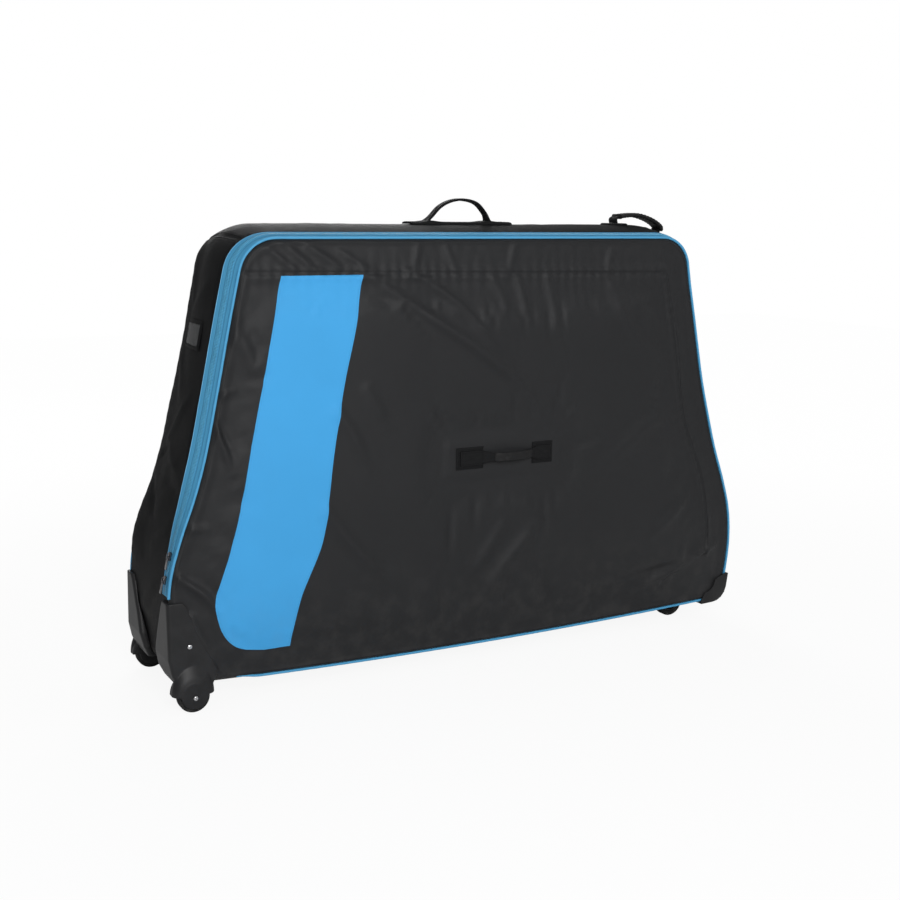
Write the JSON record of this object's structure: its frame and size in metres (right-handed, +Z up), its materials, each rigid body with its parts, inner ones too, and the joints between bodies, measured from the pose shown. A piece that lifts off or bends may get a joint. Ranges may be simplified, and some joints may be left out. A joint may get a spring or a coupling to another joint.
{
  "type": "bike travel bag",
  "caption": "Soft padded travel bag for a bicycle: fabric shell with blue piping, zipped fold-down front flap, carry handles, corner wheels, swivel casters and an inner bike stand.",
  "frame": {"origin": "middle of the bag's box, on the ground that the wheels stand on", "axes": "+X along the bag's length towards the swivel casters, -Y out of the front flap, +Z up"},
  "size_m": [1.3143, 0.3262, 0.9346],
  "materials": {
    "charcoal_fabric": "woven, matt",
    "black_fabric": "woven, matt",
    "blue_fabric": "woven, satin",
    "lining": "foam under a fabric lining",
    "black_plastic": "satin, moulded",
    "rubber": "matt",
    "steel": "plated",
    "aluminium": "satin",
    "clear_film": "clear film over a dark card"
  },
  "bodies": {
    "bag": {"back_panel": "charcoal_fabric", "back_padding": "lining", "front_lower_panel": "charcoal_fabric", "left_gusset": "black_fabric", "top_gusset": "black_fabric", "right_gusset": "black_fabric", "base_skin": "black_fabric", "base_board": "black_plastic", "caster_tray": "black_plastic", "back_piping": "blue_fabric", "lower_piping": "blue_fabric", "body_zip_tape": "blue_fabric", "body_zip_teeth": "blue_fabric", "upper_slider": "steel", "lower_slider": "steel", "lower_stripe": "blue_fabric", "top_handle_base": "black_fabric", "top_handle": "black_fabric", "end_handle_foot_inner": "black_fabric", "end_handle_foot_outer": "black_fabric", "end_handle_strap": "black_fabric", "end_handle_grip": "rubber", "card_pocket": "black_fabric", "card_window": "clear_film", "wheel_guard_front": "black_plastic", "wheel_guard_rear": "black_plastic", "wheel_axle_front": "steel", "wheel_axle_rear": "steel", "guard_rivet_front": "steel", "guard_rivet_rear": "steel", "corner_guard_front": "black_plastic", "corner_guard_rear": "black_plastic", "stand_rail": "aluminium"},
    "flap": {"flap_panel": "charcoal_fabric", "flap_padding": "lining", "flap_piping": "blue_fabric", "flap_zip_tape": "blue_fabric", "flap_zip_teeth": "blue_fabric", "flap_stripe": "blue_fabric", "side_patch_left": "black_fabric", "side_patch_right": "black_fabric", "side_strap": "black_fabric", "side_grip": "rubber"},
    "upper_pull": {"upper_pull": "steel"},
    "lower_pull": {"lower_pull": "steel"},
    "wheel_front": {"tyre_front": "rubber", "hub_front": "black_plastic"},
    "wheel_rear": {"tyre_rear": "rubber", "hub_rear": "black_plastic"},
    "caster_front": {"caster_fork_front": "steel", "caster_axle_front": "steel"},
    "caster_rear": {"caster_fork_rear": "steel", "caster_axle_rear": "steel"},
    "caster_wheel_front": {"caster_wheel_front": "rubber"},
    "caster_wheel_rear": {"caster_wheel_rear": "rubber"},
    "fork_mount": {"fork_mount": "aluminium", "fork_axle": "steel"},
    "frame_cradle": {"frame_cradle": "aluminium", "cradle_pad": "rubber"}
  },
  "joints": [
    {"name": "flap_open", "type": "hinge", "parent": "bag", "child": "flap", "pos_m": [0, -0.1468, 0.215], "axis": [1, 0, 0], "range_deg": [0, 105]},
    {"name": "upper_pull_swing", "type": "hinge", "parent": "bag", "child": "upper_pull", "pos_m": [-0.64285, -0.10781, 0.29021], "axis": [-0.0714, 0.9971, 0.0276], "range_deg": [0, 110]},
    {"name": "lower_pull_swing", "type": "hinge", "parent": "bag", "child": "lower_pull", "pos_m": [-0.65287, -0.10716, 0.24693], "axis": [-0.0068, 1, 0.0023], "range_deg": [0, 110]},
    {"name": "wheel_front_spin", "type": "hinge", "parent": "bag", "child": "wheel_front", "pos_m": [-0.612, -0.1368, 0.03], "axis": [0, 1, 0], "continuous": true},
    {"name": "wheel_rear_spin", "type": "hinge", "parent": "bag", "child": "wheel_rear", "pos_m": [-0.612, 0.1368, 0.03], "axis": [0, 1, 0], "continuous": true},
    {"name": "caster_front_swivel", "type": "hinge", "parent": "bag", "child": "caster_front", "pos_m": [0.551, -0.058, 0.072], "axis": [0, 0, 1], "continuous": true},
    {"name": "caster_front_spin", "type": "hinge", "parent": "caster_front", "child": "caster_wheel_front", "pos_m": [0.539, -0.058, 0.0325], "axis": [0, 1, 0], "continuous": true},
    {"name": "caster_rear_swivel", "type": "hinge", "parent": "bag", "child": "caster_rear", "pos_m": [0.551, 0.058, 0.072], "axis": [0, 0, 1], "continuous": true},
    {"name": "caster_rear_spin", "type": "hinge", "parent": "caster_rear", "child": "caster_wheel_rear", "pos_m": [0.539, 0.058, 0.0325], "axis": [0, 1, 0], "continuous": true},
    {"name": "fork_mount_slide", "type": "slide", "parent": "bag", "child": "fork_mount", "axis": [1, 0, 0], "range_m": [-0.06, 0.06]},
    {"name": "frame_cradle_slide", "type": "slide", "parent": "bag", "child": "frame_cradle", "axis": [1, 0, 0], "range_m": [-0.05, 0.05]}
  ]
}
